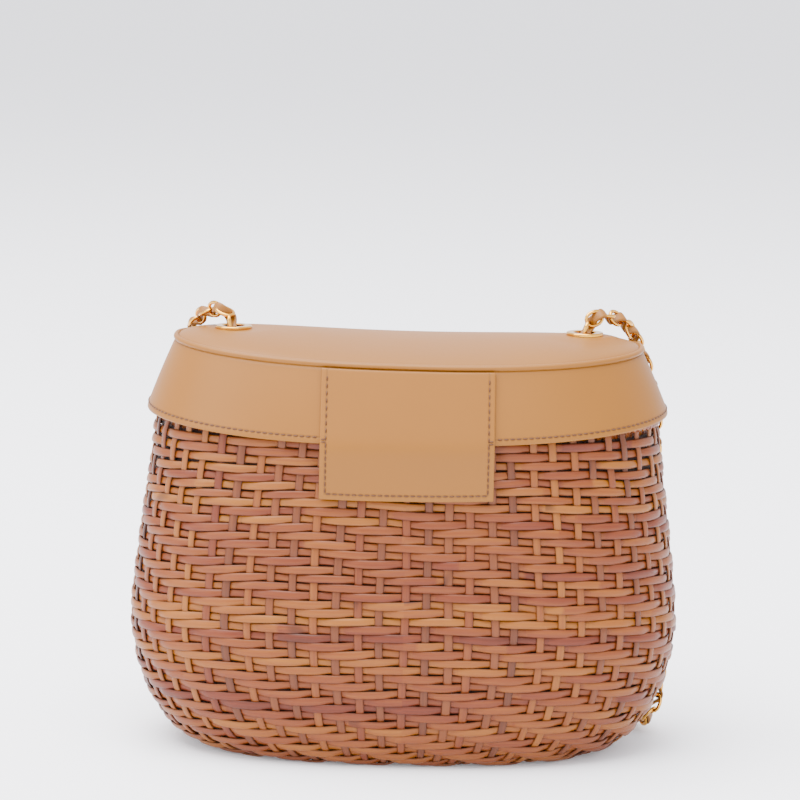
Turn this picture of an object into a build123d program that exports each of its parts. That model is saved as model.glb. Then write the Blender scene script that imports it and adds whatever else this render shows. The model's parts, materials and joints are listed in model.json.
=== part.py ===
"""A small woven box bag: a bellied cane basket, a stiff leather lid on a leather hinge, a tuck lock and
a chain strap that runs through two eyelets in the lid.

Millimetres. +Z is up, the origin is on the floor under the middle of the basket, +X is the length.
The hinge is at the rear, -Y, and the lock at the front, +Y.
"""

from build123d import *
from math import cos, pi, radians, sin, tan
import os

os.makedirs("parts", exist_ok=True)

# ---------------------------------------------------------------- driving dimensions

# Every oval in plan is |x/a|^n + |y/b|^n = 1.
plan_exponent = 2.45
plan_points = 20

# Basket, outside sizes
belly_length = 220.0
belly_depth = 120.0
belly_height = 58.0
base_draw_x = 33.0
base_draw_y = 17.0
rim_draw_x = 9.5
rim_draw_y = 5.0
rim_height = 134.0
shoulder_power = 1.25
weave_thickness = 3.2
base_thickness = 3.5
border_thickness = 1.4

# Gaps
layer_gap = 0.4
seat_gap = 0.3
close_fit = 0.1
hairline = 0.05
collar_clearance = 1.2

# Inside of the basket
board_thickness = 2.0
board_margin = 1.5
lining_thickness = 0.8
collar_thickness = 1.6
collar_lap = 27.0
collar_rise = 12.0

# Lid, outside sizes
lid_overhang_x = 3.5
lid_overhang_y = 2.5
lid_top_draw_x = 11.5
lid_top_draw_y = 10.9
skirt_height = 27.0
lid_crown = 4.5
leather = 1.2
stiffener = 2.0
lid_lining_thickness = 0.6
piping_width = 2.0
piping_height = 2.4

# Tabs
tab_width = 67.0
tab_thickness = 1.6
hinge_tab_drop = 23.5

# Eyelets and the strap's ends
eyelet_spacing = 140.0
eyelet_flange_diameter = 14.8
eyelet_flange_thickness = 1.2
eyelet_tube_diameter = 10.4
eyelet_bore_diameter = 8.8
eyelet_hole_clearance = 0.2
washer_diameter = 15.4
washer_thickness = 1.0
washer_drop = 0.25
flange_lift = 0.3
anchor_bar_diameter = 2.4
anchor_bar_length = 15.0
strap_diameter = 6.4

# Lock
case_width = 30.0
case_height = 19.0
case_depth = 7.5
case_corner = 2.5
case_below_rim = 7.0
case_edge_round = 0.8
slot_width = 22.0
slot_thickness = 2.8
slot_depth = 8.5
slot_share = 0.37
tongue_width = 20.0
tongue_thickness = 1.2
tongue_engagement = 7.5
tongue_rivet_rise = 5.0
tongue_above_rivets = 5.0
tongue_rivet_edge = 4.0
tongue_bend_rise = 1.0
tongue_bend_drop = 3.0
back_plate_thickness = 0.8
button_diameter = 7.0
button_fit = 0.05
button_edge_round = 0.6
button_stand_out = 2.2
button_travel = 1.5
button_flange = 1.1
button_flange_lip = 1.0
button_chamber_gap = 0.3
spring_wall = 1.0
rivet_diameter = 2.6
rivet_head_diameter = 4.6
rivet_head_thickness = 0.8
rivet_hole_clearance = 0.15
rivet_edge_x = 3.5
rivet_edge_z = 3.0
slant_head_lift = 1.5

# ---------------------------------------------------------------- worked out from them

border_top = rim_height + border_thickness
lid_edge_height = border_top + seat_gap
base_length = belly_length - 2 * base_draw_x
base_depth = belly_depth - 2 * base_draw_y
rim_length = belly_length - 2 * rim_draw_x
rim_depth = belly_depth - 2 * rim_draw_y
lid_edge_length = rim_length + 2 * lid_overhang_x
lid_edge_depth = rim_depth + 2 * lid_overhang_y
lid_top_length = lid_edge_length - 2 * lid_top_draw_x
lid_top_depth = lid_edge_depth - 2 * lid_top_draw_y
lid_top_height = lid_edge_height + skirt_height
shell_inset = leather + layer_gap
lid_lining_inset = shell_inset + stiffener + layer_gap
lid_inner_inset = lid_lining_inset + lid_lining_thickness
board_floor = base_thickness + seat_gap
lining_floor = board_floor + board_thickness + layer_gap
collar_bottom = rim_height - collar_lap
collar_top = lid_edge_height + collar_rise
lining_top = collar_bottom - layer_gap
hinge_tab_bottom = lid_edge_height - hinge_tab_drop
hinge_y = -(lid_edge_depth / 2 + layer_gap + tab_thickness / 2)
hinge_z = lid_edge_height


def oval(level, half_length, half_depth):
    """A flat oval face at a height."""
    corners = []
    for step in range(plan_points):
        turn = 2 * pi * step / plan_points
        across = abs(cos(turn)) ** (2 / plan_exponent)
        along = abs(sin(turn)) ** (2 / plan_exponent)
        x = half_length * across * (1 if cos(turn) > 0 else -1)
        y = half_depth * along * (1 if sin(turn) > 0 else -1)
        corners.append((x, y))
    with BuildSketch(Plane.XY.offset(level)) as face:
        with BuildLine():
            Spline(*corners, periodic=True)
        make_face()
    return face.sketch


def shoulder(level):
    """How far the basket's sides have drawn in above the belly, at each end and at front and back."""
    share = ((level - belly_height) / (rim_height - belly_height)) ** shoulder_power
    return share * (belly_length - rim_length) / 2, share * (belly_depth - rim_depth) / 2


def basket_layer(floor, inset, top):
    """Faces of a basket-shaped layer: a quarter ellipse up to the belly, then the shoulder."""
    faces = []
    for turn in (0, 9, 20, 33, 48, 68, 90):
        out = sin(radians(turn))
        level = belly_height - (belly_height - floor) * cos(radians(turn))
        half_length = base_length / 2 + ((belly_length - base_length) / 2 - inset) * out
        half_depth = base_depth / 2 + ((belly_depth - base_depth) / 2 - inset) * out
        faces.append(oval(level, half_length, half_depth))
    for share in (0.25, 0.5, 0.75, 1):
        level = belly_height + (top - belly_height) * share
        in_x, in_y = shoulder(level)
        faces.append(oval(level, belly_length / 2 - inset - in_x, belly_depth / 2 - inset - in_y))
    return faces


def wall_half_sizes(level, inset):
    """Half length and half depth of the basket above its belly."""
    in_x, in_y = shoulder(level)
    return belly_length / 2 - inset - in_x, belly_depth / 2 - inset - in_y


def skirt_half_sizes(level, inset):
    """Half length and half depth of the lid's flared side."""
    share = (level - lid_edge_height) / skirt_height
    half_length = lid_edge_length / 2 + share * (lid_top_length - lid_edge_length) / 2
    half_depth = lid_edge_depth / 2 + share * (lid_top_depth - lid_edge_depth) / 2
    return half_length - inset, half_depth - inset


def skirt_layer(bottom, top, inset):
    """Two faces of the lid's flared side."""
    return [oval(level, *skirt_half_sizes(level, inset)) for level in (bottom, top)]


def crown_layer(level, half_length, half_depth):
    """Faces of the lid's low crown."""
    faces = [oval(level, half_length, half_depth)]
    for turn in (30, 58, 80):
        share = cos(radians(turn))
        height = level + lid_crown * sin(radians(turn))
        faces.append(oval(height, half_length * share, half_depth * share))
    return faces


def write(piece, name):
    """Label a piece and write its file."""
    piece.part.label = name
    export_step(piece.part, "parts/" + name + ".step")


# ---------------------------------------------------------------- lock positions

case_top = rim_height - case_below_rim
case_bottom = case_top - case_height
wall_face = wall_half_sizes(case_bottom, 0)[1]
plate_y = wall_face + seat_gap
case_back = plate_y + back_plate_thickness
case_front = case_back + case_depth
slot_y = case_back + case_depth * slot_share
tongue_bottom = case_top - tongue_engagement
button_z = case_bottom + (case_height - slot_depth) / 2
chamber_front = case_back + spring_wall + button_travel + button_flange + button_travel
inner_plate_y = wall_half_sizes(case_top, weave_thickness + layer_gap + collar_thickness)[1] - seat_gap
rivet_places = [
    (side * (case_width / 2 - rivet_edge_x), height)
    for side in (-1, 1)
    for height in (case_bottom + rivet_edge_z, case_top - rivet_edge_z)
]
tongue_rivet_level = collar_top + tongue_rivet_rise
tongue_rivet_x = tongue_width / 2 - tongue_rivet_edge
tongue_back = slot_y - tongue_thickness / 2

# ---------------------------------------------------------------- the basket

rivet_hole_radius = rivet_diameter / 2 + rivet_hole_clearance

with BuildPart() as woven_basket:
    loft(basket_layer(0, 0, rim_height))
    loft(basket_layer(base_thickness, weave_thickness, rim_height + 1), mode=Mode.SUBTRACT)
    with Locations(*[Plane.XZ.offset(-belly_depth / 2) * Pos(x, z, 0) for x, z in rivet_places]):
        Cylinder(rivet_hole_radius, belly_depth / 4, mode=Mode.SUBTRACT)
write(woven_basket, "woven_basket")

border_outer = wall_half_sizes(rim_height, 0)
border_inner = wall_half_sizes(rim_height, weave_thickness)
with BuildPart() as rim_border:
    extrude(oval(rim_height, *border_outer), amount=border_thickness)
    extrude(oval(rim_height, *border_inner), amount=border_thickness, mode=Mode.SUBTRACT)
write(rim_border, "rim_border")

with BuildPart() as base_board:
    extrude(
        oval(board_floor, base_length / 2 - board_margin, base_depth / 2 - board_margin),
        amount=board_thickness,
    )
write(base_board, "base_board")

lining_inset = weave_thickness + layer_gap
with BuildPart() as basket_lining:
    loft(basket_layer(lining_floor, lining_inset, lining_top))
    loft(
        basket_layer(lining_floor + lining_thickness, lining_inset + lining_thickness, lining_top + 1),
        mode=Mode.SUBTRACT,
    )
write(basket_lining, "basket_lining")


def collar_layer(inset, extra):
    """Faces of the collar: it follows the inside of the wall, then draws in to clear the lid."""
    half_length, half_depth = skirt_half_sizes(collar_top, lid_inner_inset + collar_clearance + inset)
    wall_inset = lining_inset + inset
    return [
        oval(collar_bottom - extra, *wall_half_sizes(collar_bottom, wall_inset)),
        oval(rim_height, *wall_half_sizes(rim_height, wall_inset)),
        oval(collar_top + extra, half_length, half_depth),
    ]


with BuildPart() as rim_collar:
    loft(collar_layer(0, 0), ruled=True)
    loft(collar_layer(collar_thickness, hairline), ruled=True, mode=Mode.SUBTRACT)
    with Locations(*[Plane.XZ.offset(-belly_depth / 2) * Pos(x, z, 0) for x, z in rivet_places]):
        Cylinder(rivet_hole_radius, belly_depth / 4, mode=Mode.SUBTRACT)
write(rim_collar, "rim_collar")

# ---------------------------------------------------------------- the lid

eyelet_x = eyelet_spacing / 2
eyelet_hole_radius = eyelet_tube_diameter / 2 + eyelet_hole_clearance
eyelet_holes = [(side * eyelet_x, 0, lid_top_height) for side in (-1, 1)]
shell_bottom = lid_edge_height + seat_gap
shell_top = lid_top_height - shell_inset
lining_top_level = lid_top_height - lid_lining_inset
inner_top_level = lid_top_height - lid_inner_inset
piping_bottom = lid_top_height - piping_height / 2
band_top = piping_bottom - layer_gap
tongue_rivet_plane = Plane.XZ.offset(-lid_edge_depth / 2)
tongue_rivets_at = [
    tongue_rivet_plane * Pos(side * tongue_rivet_x, tongue_rivet_level, 0) for side in (-1, 1)
]

with BuildPart() as lid_band:
    loft(skirt_layer(lid_edge_height, band_top, 0), ruled=True)
    loft(skirt_layer(lid_edge_height - 1, band_top + 1, leather), ruled=True, mode=Mode.SUBTRACT)
    with Locations(*tongue_rivets_at):
        Cylinder(rivet_hole_radius, lid_edge_depth / 3, mode=Mode.SUBTRACT)
write(lid_band, "lid_band")

panel_inset = piping_width / 2 + layer_gap
panel_half = (lid_top_length / 2 - panel_inset, lid_top_depth / 2 - panel_inset)


def under_panel(inset):
    """Half length and half depth of the crown of a layer that lies inset below the top panel's face."""
    return panel_half[0] - inset, panel_half[1] - inset


with BuildPart() as lid_shell:
    loft(skirt_layer(shell_bottom, shell_top, shell_inset), ruled=True)
    loft(crown_layer(shell_top, *under_panel(shell_inset)))
    inner_shell_top = shell_top - stiffener
    inner_shell_inset = shell_inset + stiffener
    loft(skirt_layer(shell_bottom - 1, inner_shell_top, inner_shell_inset), ruled=True, mode=Mode.SUBTRACT)
    loft(crown_layer(inner_shell_top, *under_panel(inner_shell_inset)), mode=Mode.SUBTRACT)
    with Locations(*eyelet_holes):
        Cylinder(eyelet_hole_radius, 4 * lid_crown, mode=Mode.SUBTRACT)
    with Locations(*tongue_rivets_at):
        Cylinder(rivet_hole_radius, lid_edge_depth / 3, mode=Mode.SUBTRACT)
write(lid_shell, "lid_shell")

with BuildPart() as lid_lining:
    loft(skirt_layer(shell_bottom, lining_top_level, lid_lining_inset), ruled=True)
    loft(crown_layer(lining_top_level, *under_panel(lid_lining_inset)))
    loft(skirt_layer(shell_bottom - 1, inner_top_level, lid_inner_inset), ruled=True, mode=Mode.SUBTRACT)
    loft(crown_layer(inner_top_level, *under_panel(lid_inner_inset)), mode=Mode.SUBTRACT)
    with Locations(*eyelet_holes):
        Cylinder(eyelet_hole_radius, 4 * lid_crown, mode=Mode.SUBTRACT)
    with Locations(*tongue_rivets_at):
        Cylinder(rivet_head_diameter, lid_edge_depth / 3, mode=Mode.SUBTRACT)
write(lid_lining, "lid_lining")

piping_inset = piping_width / 2
piping_half = (lid_top_length / 2, lid_top_depth / 2)
piping_outer = (piping_half[0] + piping_inset, piping_half[1] + piping_inset)
piping_inner = (piping_half[0] - piping_inset, piping_half[1] - piping_inset)
with BuildPart() as lid_piping:
    extrude(oval(piping_bottom, *piping_outer), amount=piping_height)
    extrude(oval(piping_bottom, *piping_inner), amount=piping_height, mode=Mode.SUBTRACT)
write(lid_piping, "lid_piping")

panel_bottom = lid_top_height - leather
with BuildPart() as lid_top_panel:
    extrude(oval(panel_bottom, *panel_half), amount=leather)
    loft(crown_layer(lid_top_height, *panel_half))
    loft(crown_layer(panel_bottom, *under_panel(leather)), mode=Mode.SUBTRACT)
    with Locations(*eyelet_holes):
        Cylinder(eyelet_hole_radius, 4 * lid_crown, mode=Mode.SUBTRACT)
write(lid_top_panel, "lid_top_panel")

# ---------------------------------------------------------------- tabs


def tab_layer(bottom, inset):
    """Faces of a tab that lies on the lid's side and hangs straight down past its edge."""
    faces = [oval(band_top, *skirt_half_sizes(band_top, inset))]
    edge = skirt_half_sizes(lid_edge_height, inset)
    faces.append(oval(lid_edge_height, *edge))
    faces.append(oval(bottom, *edge))
    return faces


tab_inner = -layer_gap
tab_outer = -(layer_gap + tab_thickness)

with BuildPart() as hinge_tab:
    loft(tab_layer(hinge_tab_bottom, tab_outer), ruled=True)
    loft(tab_layer(hinge_tab_bottom, tab_inner), ruled=True, mode=Mode.SUBTRACT)
    with Locations((0, -lid_edge_depth / 2, lid_edge_height)):
        Box(tab_width, lid_edge_depth / 2, 4 * skirt_height, mode=Mode.INTERSECT)
write(hinge_tab, "hinge_tab")

with BuildPart() as front_tab:
    loft(skirt_layer(lid_edge_height, band_top, tab_outer), ruled=True)
    loft(skirt_layer(lid_edge_height, band_top, tab_inner), ruled=True, mode=Mode.SUBTRACT)
    with Locations((0, lid_edge_depth / 2, lid_edge_height)):
        Box(tab_width, lid_edge_depth / 2, 4 * skirt_height, mode=Mode.INTERSECT)
    with Locations(*tongue_rivets_at):
        Cylinder(rivet_hole_radius, lid_edge_depth / 3, mode=Mode.SUBTRACT)
write(front_tab, "front_tab")

# ---------------------------------------------------------------- eyelets and anchors

eyelet_share = eyelet_x / panel_half[0]
crown_fall = (1 - eyelet_share**2) ** 0.5
crown_slope = lid_crown * eyelet_share / panel_half[0] / crown_fall
flange_tilt = eyelet_flange_diameter / 2 * crown_slope
flange_bottom = lid_top_height + lid_crown * crown_fall + flange_tilt + flange_lift
inner_half_length = under_panel(lid_inner_inset)[0]
inner_share = (eyelet_x + washer_diameter / 2) / inner_half_length
washer_top = inner_top_level + lid_crown * (1 - inner_share**2) ** 0.5 - washer_drop
washer_bottom = washer_top - washer_thickness
tube_bottom = washer_bottom - seat_gap
anchor_bar_z = tube_bottom - close_fit - anchor_bar_diameter / 2

for side, word in ((-1, "left"), (1, "right")):
    with BuildPart() as eyelet:
        with Locations((side * eyelet_x, 0, tube_bottom)):
            Cylinder(
                eyelet_tube_diameter / 2,
                flange_bottom - tube_bottom,
                align=(Align.CENTER, Align.CENTER, Align.MIN),
            )
        with Locations((side * eyelet_x, 0, flange_bottom)):
            Cylinder(
                eyelet_flange_diameter / 2,
                eyelet_flange_thickness,
                align=(Align.CENTER, Align.CENTER, Align.MIN),
            )
        with Locations((side * eyelet_x, 0, flange_bottom)):
            Cylinder(eyelet_bore_diameter / 2, 8 * eyelet_tube_diameter, mode=Mode.SUBTRACT)
        rims = eyelet.edges().filter_by(GeomType.CIRCLE).group_by(Axis.Z)[-1]
        fillet(rims, eyelet_flange_thickness * 0.45)
    write(eyelet, "eyelet_" + word)

    with BuildPart() as washer:
        with Locations((side * eyelet_x, 0, washer_bottom)):
            Cylinder(
                washer_diameter / 2,
                washer_thickness,
                align=(Align.CENTER, Align.CENTER, Align.MIN),
            )
            Cylinder(
                eyelet_tube_diameter / 2 + close_fit,
                3 * washer_thickness,
                mode=Mode.SUBTRACT,
            )
    write(washer, "eyelet_washer_" + word)

    with BuildPart() as anchor_bar:
        with Locations((side * eyelet_x, 0, anchor_bar_z)):
            Cylinder(anchor_bar_diameter / 2, anchor_bar_length, rotation=(90, 0, 0))
        fillet(anchor_bar.edges().filter_by(GeomType.CIRCLE), anchor_bar_diameter / 5)
    write(anchor_bar, "anchor_bar_" + word)

# ---------------------------------------------------------------- lock

with BuildPart() as lock_case:
    with BuildSketch(Plane.XZ.offset(-case_back)):
        with Locations((0, (case_top + case_bottom) / 2)):
            RectangleRounded(case_width, case_height, case_corner)
    extrude(amount=-case_depth)
    fillet(lock_case.faces().sort_by(Axis.Y)[-1].edges(), case_edge_round)
    with Locations((0, slot_y, case_top)):
        Box(
            slot_width,
            slot_thickness,
            slot_depth,
            align=(Align.CENTER, Align.CENTER, Align.MAX),
            mode=Mode.SUBTRACT,
        )
    chamber_radius = button_diameter / 2 + button_flange_lip + button_chamber_gap
    with BuildSketch(Plane.XZ.offset(-case_back)):
        with Locations((0, button_z)):
            Circle(chamber_radius)
    extrude(amount=-(chamber_front - case_back), mode=Mode.SUBTRACT)
    with BuildSketch(Plane.XZ.offset(-case_back)):
        with Locations((0, button_z)):
            Circle(button_diameter / 2 + button_fit)
    extrude(amount=-case_depth, mode=Mode.SUBTRACT)
    with BuildSketch(Plane.XZ.offset(-case_back)):
        with Locations(*rivet_places):
            Circle(rivet_head_diameter / 2 + rivet_hole_clearance)
    extrude(amount=-(rivet_head_thickness + rivet_hole_clearance), mode=Mode.SUBTRACT)
write(lock_case, "lock_case")

with BuildPart() as lock_back_plate:
    with BuildSketch(Plane.XZ.offset(-plate_y)):
        with Locations((0, (case_top + case_bottom) / 2)):
            RectangleRounded(case_width, case_height, case_corner)
        with Locations(*rivet_places):
            Circle(rivet_hole_radius, mode=Mode.SUBTRACT)
    extrude(amount=-back_plate_thickness)
write(lock_back_plate, "lock_back_plate")

flange_front = chamber_front - hairline
flange_back = flange_front - button_flange
with BuildPart() as lock_button:
    with BuildSketch(Plane.XZ.offset(-flange_back)):
        with Locations((0, button_z)):
            Circle(button_diameter / 2)
    extrude(amount=-(case_front + button_stand_out - flange_back))
    fillet(lock_button.faces().sort_by(Axis.Y)[-1].edges(), button_edge_round)
    with BuildSketch(Plane.XZ.offset(-flange_back)):
        with Locations((0, button_z)):
            Circle(button_diameter / 2 + button_flange_lip)
    extrude(amount=-button_flange)
write(lock_button, "lock_button")

with BuildPart() as lock_spring:
    with BuildSketch(Plane.XZ.offset(-(case_back + hairline))):
        with Locations((0, button_z)):
            Circle(button_diameter / 2)
            Circle(button_diameter / 2 - spring_wall, mode=Mode.SUBTRACT)
    extrude(amount=-(flange_back - case_back - 2 * hairline))
write(lock_spring, "lock_spring")

with BuildPart() as lock_inner_plate:
    with BuildSketch(Plane.XZ.offset(-inner_plate_y)):
        with Locations((0, (case_top + case_bottom) / 2)):
            RectangleRounded(case_width, case_height, case_corner)
        with Locations(*rivet_places):
            Circle(rivet_hole_radius, mode=Mode.SUBTRACT)
    extrude(amount=back_plate_thickness)
write(lock_inner_plate, "lock_inner_plate")

rivet_inner = inner_plate_y - back_plate_thickness - hairline
with BuildPart() as lock_rivets:
    with BuildSketch(Plane.XZ.offset(-rivet_inner)):
        with Locations(*rivet_places):
            Circle(rivet_diameter / 2)
    extrude(amount=-(case_back + hairline - rivet_inner))
    with BuildSketch(Plane.XZ.offset(-(case_back + hairline))):
        with Locations(*rivet_places):
            Circle(rivet_head_diameter / 2)
    extrude(amount=-(rivet_head_thickness - hairline))
    with BuildSketch(Plane.XZ.offset(-rivet_inner)):
        with Locations(*rivet_places):
            Circle(rivet_head_diameter / 2)
    extrude(amount=rivet_head_thickness)
write(lock_rivets, "lock_rivets")

# The tongue lies on the slanted tab, then hangs straight into the case's slot.
tab_face_low = skirt_half_sizes(lid_edge_height, tab_outer)[1] + seat_gap
tongue_top = tongue_rivet_level + tongue_above_rivets
tab_face_high = skirt_half_sizes(tongue_top, tab_outer)[1] + seat_gap
bend_level = lid_edge_height + tongue_bend_rise
hang_level = bend_level - tongue_bend_drop
with BuildPart() as lock_tongue:
    with BuildSketch(Plane.YZ):
        with BuildLine():
            Polyline(
                (tab_face_high, tongue_top),
                (tab_face_low, bend_level),
                (tongue_back, hang_level),
                (tongue_back, tongue_bottom),
                (tongue_back + tongue_thickness, tongue_bottom),
                (tongue_back + tongue_thickness, hang_level + tongue_thickness * 0.4),
                (tab_face_low + tongue_thickness, bend_level + tongue_thickness / 2),
                (tab_face_high + tongue_thickness, tongue_top + tongue_thickness / 3),
                close=True,
            )
        make_face()
    extrude(amount=tongue_width / 2, both=True)
    with Locations(*tongue_rivets_at):
        Cylinder(rivet_hole_radius, lid_edge_depth, mode=Mode.SUBTRACT)
write(lock_tongue, "lock_tongue")

tongue_face = skirt_half_sizes(tongue_rivet_level, tab_outer)[1] + seat_gap + tongue_thickness
shell_face = skirt_half_sizes(tongue_rivet_level, inner_shell_inset)[1]
with BuildPart() as tongue_rivets:
    with BuildSketch(Plane.XZ.offset(-(shell_face - slant_head_lift))):
        with Locations((-tongue_rivet_x, tongue_rivet_level), (tongue_rivet_x, tongue_rivet_level)):
            Circle(rivet_diameter / 2)
    extrude(amount=-(tongue_face + slant_head_lift - shell_face + slant_head_lift))
    with BuildSketch(Plane.XZ.offset(-(tongue_face + slant_head_lift))):
        with Locations((-tongue_rivet_x, tongue_rivet_level), (tongue_rivet_x, tongue_rivet_level)):
            Circle(rivet_head_diameter / 2)
    extrude(amount=-rivet_head_thickness)
    with BuildSketch(Plane.XZ.offset(-(shell_face - slant_head_lift))):
        with Locations((-tongue_rivet_x, tongue_rivet_level), (tongue_rivet_x, tongue_rivet_level)):
            Circle(rivet_head_diameter / 2)
    extrude(amount=rivet_head_thickness)
write(tongue_rivets, "tongue_rivets")

# ---------------------------------------------------------------- chain strap

strap_radius = strap_diameter / 2
floor_lay = strap_radius + close_fit
strap_end = tube_bottom
# How the loose strap lies beside a basket of this length and depth. It moves with the basket's size.
lay_length, lay_depth = 220.0, 120.0
loose_lay = [
    (-77.5, 3, 176.5),
    (-87, 13, 174),
    (-95, 24, 166.5),
    (-101, 31, 152),
    (-104, 35, 133),
    (-103, 41, 108),
    (-99, 49, 80),
    (-95, 58, 52),
    (-92, 68, 28),
    (-87, 79, 10),
    (-76, 94, floor_lay),
    (-55, 113, floor_lay),
    (-28, 124, floor_lay),
    (4, 127, floor_lay),
    (37, 121, floor_lay),
    (63, 105, floor_lay),
    (80, 81, floor_lay),
    (90, 51, floor_lay),
    (96.5, 24, floor_lay),
    (102, 2, floor_lay),
    (108.5, 5, 18),
    (109.5, 22, 32),
    (107.5, 37, 50),
    (105.5, 41, 74),
    (105, 36, 98),
    (107.5, 30, 119),
    (108, 26, 138),
    (102, 21, 155),
    (95, 16, 168),
    (86, 9, 174.5),
    (76.5, 3, 175.5),
]
strap_route = [
    (-eyelet_x, 0, strap_end),
    (-eyelet_x, 0, 171.5),
    *[(x * belly_length / lay_length, y * belly_depth / lay_depth, z) for x, y, z in loose_lay],
    (eyelet_x, 0, 171),
    (eyelet_x, 0, strap_end),
]


def corner_radii(route):
    """The radius at each corner of a route: 0.45 of its shorter run, over the tangent of half its turn."""
    radii = []
    for before, here, after in zip(route, route[1:], route[2:]):
        first = Vector(*here) - Vector(*before)
        second = Vector(*after) - Vector(*here)
        turn = first.get_angle(second)
        shorter = min(first.length, second.length)
        radii.append(0.45 * shorter / tan(radians(turn / 2)))
    return radii


strap_radii = corner_radii(strap_route)
with BuildPart() as chain_strap:
    with BuildLine():
        strap_line = FilletPolyline(*strap_route, radius=strap_radii)
    with BuildSketch(Plane(origin=strap_line @ 0, z_dir=strap_line % 0)):
        Circle(strap_radius)
    sweep()
write(chain_strap, "chain_strap")

strap_length = strap_line.length
strap_section = pi * strap_radius**2
print("strap radii", [round(radius, 1) for radius in strap_radii])
print("strap length", round(strap_length, 1))
print("strap volume share", round(chain_strap.part.volume / (strap_length * strap_section), 4))
print("hinge at y, z", round(hinge_y, 3), round(hinge_z, 3))
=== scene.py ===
"""Looks for a small woven box bag: cane basket, leather lid, gold chain strap. Metres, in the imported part's frame."""

import json
from math import cos, pi, radians, sin

import bpy
import bmesh
import numpy as np
from mathutils import Matrix, Vector


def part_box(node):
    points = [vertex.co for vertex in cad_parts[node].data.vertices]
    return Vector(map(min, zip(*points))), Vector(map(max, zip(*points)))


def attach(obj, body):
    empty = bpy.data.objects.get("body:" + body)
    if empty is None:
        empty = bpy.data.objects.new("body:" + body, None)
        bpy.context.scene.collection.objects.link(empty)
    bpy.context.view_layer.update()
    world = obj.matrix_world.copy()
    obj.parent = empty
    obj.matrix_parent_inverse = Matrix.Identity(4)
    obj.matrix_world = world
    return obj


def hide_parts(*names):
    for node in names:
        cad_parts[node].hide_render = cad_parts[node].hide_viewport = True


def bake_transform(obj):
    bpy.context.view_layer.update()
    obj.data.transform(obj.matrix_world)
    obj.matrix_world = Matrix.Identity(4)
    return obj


bl_info = {
    "name": "Woven box bag",
    "version": (1, 0, 0),
    "blender": (4, 5, 0),
    "location": "3D View > Sidebar > Box bag",
    "description": "Weaves the basket, covers the lid with leather and links the strap of a small box bag",
    "category": "Add Mesh",
}

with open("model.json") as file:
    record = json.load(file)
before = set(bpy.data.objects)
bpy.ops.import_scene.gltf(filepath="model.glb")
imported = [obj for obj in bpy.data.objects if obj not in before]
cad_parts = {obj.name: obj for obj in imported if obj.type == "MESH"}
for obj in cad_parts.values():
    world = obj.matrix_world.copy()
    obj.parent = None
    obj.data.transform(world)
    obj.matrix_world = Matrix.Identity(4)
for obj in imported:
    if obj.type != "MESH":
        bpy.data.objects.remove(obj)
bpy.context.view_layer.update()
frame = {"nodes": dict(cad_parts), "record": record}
MM = 0.001


def linear(red, green, blue):
    """A colour given as 0 to 255 on a screen, as the numbers that a shader takes."""
    parts = [part / 255 for part in (red, green, blue)]
    return tuple(p / 12.92 if p <= 0.04045 else ((p + 0.055) / 1.055) ** 2.4 for p in parts)


# ------------------------------------------------------------------ what a user may change


def length(label, text, millimetres):
    return bpy.props.FloatProperty(
        name=label, description=text, default=millimetres * MM, unit="LENGTH", subtype="DISTANCE", precision=5
    )


def number(label, text, value):
    return bpy.props.IntProperty(name=label, description=text, default=value, min=3)


def colour(label, text, *screen):
    return bpy.props.FloatVectorProperty(
        name=label, description=text, default=linear(*screen), subtype="COLOR", size=3, min=0, max=1
    )


class BasketSizes(bpy.types.PropertyGroup):
    """The basket's outside and its strips of cane"""

    belly_x: length("Belly half length", "Half the length at the widest level", 110)
    belly_y: length("Belly half depth", "Half the depth at the widest level", 60)
    belly_z: length("Belly height", "Height of the widest level", 58)
    base_x: length("Base half length", "Half the length of the flat base", 77)
    base_y: length("Base half depth", "Half the depth of the flat base", 43)
    rim_x: length("Rim half length", "Half the length at the rim", 100.5)
    rim_y: length("Rim half depth", "Half the depth at the rim", 55)
    rim_z: length("Rim height", "Height of the rim", 134)
    stakes: number("Stakes", "Upright strips round the basket, in fours for the twill", 64)
    row_pitch: length("Row pitch", "From one woven row to the next, along the side", 3.25)
    row_width: length("Row width", "Width of a woven strip", 3.2)
    stake_width: length("Stake width", "Width of an upright strip", 3.1)
    cane: length("Cane thickness", "Thickness of a strip of cane", 0.95)
    row_swing: length("Row swing", "How far a woven strip swings out and in", 0.9)
    stake_swing: length("Stake swing", "How far an upright strip gives way", 0.3)
    end_sag: length("End sag", "How much lower the rows lie at the basket's two ends", 4.5)
    weave_inset: length("Weave inset", "Middle of the weave, inside the basket's face", 1.4)


class LidSizes(bpy.types.PropertyGroup):
    """The lid's outside, its tabs and its stitching"""

    edge_x: length("Edge half length", "Half the length at the lower edge", 104)
    edge_y: length("Edge half depth", "Half the depth at the lower edge", 57.5)
    edge_z: length("Edge height", "Height of the lower edge", 135.7)
    seam_x: length("Seam half length", "Half the length at the piped seam", 92.5)
    seam_y: length("Seam half depth", "Half the depth at the piped seam", 46.6)
    seam_z: length("Seam height", "Height of the piped seam", 162.7)
    leather: length("Leather", "Thickness of the leather", 1.2)
    piping: length("Piping", "Thickness of the piping", 2.3)
    arch: length("Arch", "How far the lid's hinge side bends down, at its edge", 6.6)
    crown_middle: length("Crown in the middle", "Rise of the top in the middle", 2.0)
    crown_gain: length("Crown gain", "How much more it rises beside the eyelets", 3.1)
    bulge: length("Side bulge", "How far the lid's side swells", 0.35)
    tab_width: length("Tab width", "Width of the leather tabs", 67)
    tab_leather: length("Tab thickness", "Thickness of the tabs", 1.6)
    tab_bottom: length("Tab bottom", "Height of the hinge tab's lower edge, before the arch", 115.1)
    stitch_pitch: length("Stitch pitch", "From one stitch to the next", 2.45)
    stitch_margin: length("Stitch margin", "From an edge to its stitches", 2.3)


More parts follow.
